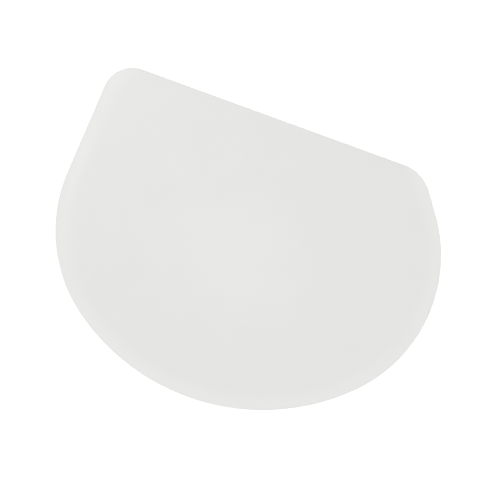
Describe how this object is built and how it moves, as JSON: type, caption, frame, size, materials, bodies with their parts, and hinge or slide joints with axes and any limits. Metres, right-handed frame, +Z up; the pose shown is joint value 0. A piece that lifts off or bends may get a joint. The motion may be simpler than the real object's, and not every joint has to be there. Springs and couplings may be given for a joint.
{
  "type": "half-round scraper",
  "caption": "Thin moulded plastic hand scraper with a straight edge and a half-round edge thinned to a lip, for cutting dough and cleaning bowls.",
  "frame": {"origin": "middle of the bounding box of the flat underside, on which the scraper lies", "axes": "+X along the straight edge, away from the steep flank; +Y from the round edge to the straight edge; +Z up, out of the tapered face"},
  "size_m": [0.12, 0.09, 0.0016],
  "materials": {
    "white_polypropylene": "satin"
  },
  "bodies": {
    "root": {"scraper_blade": "white_polypropylene"}
  },
  "joints": []
}
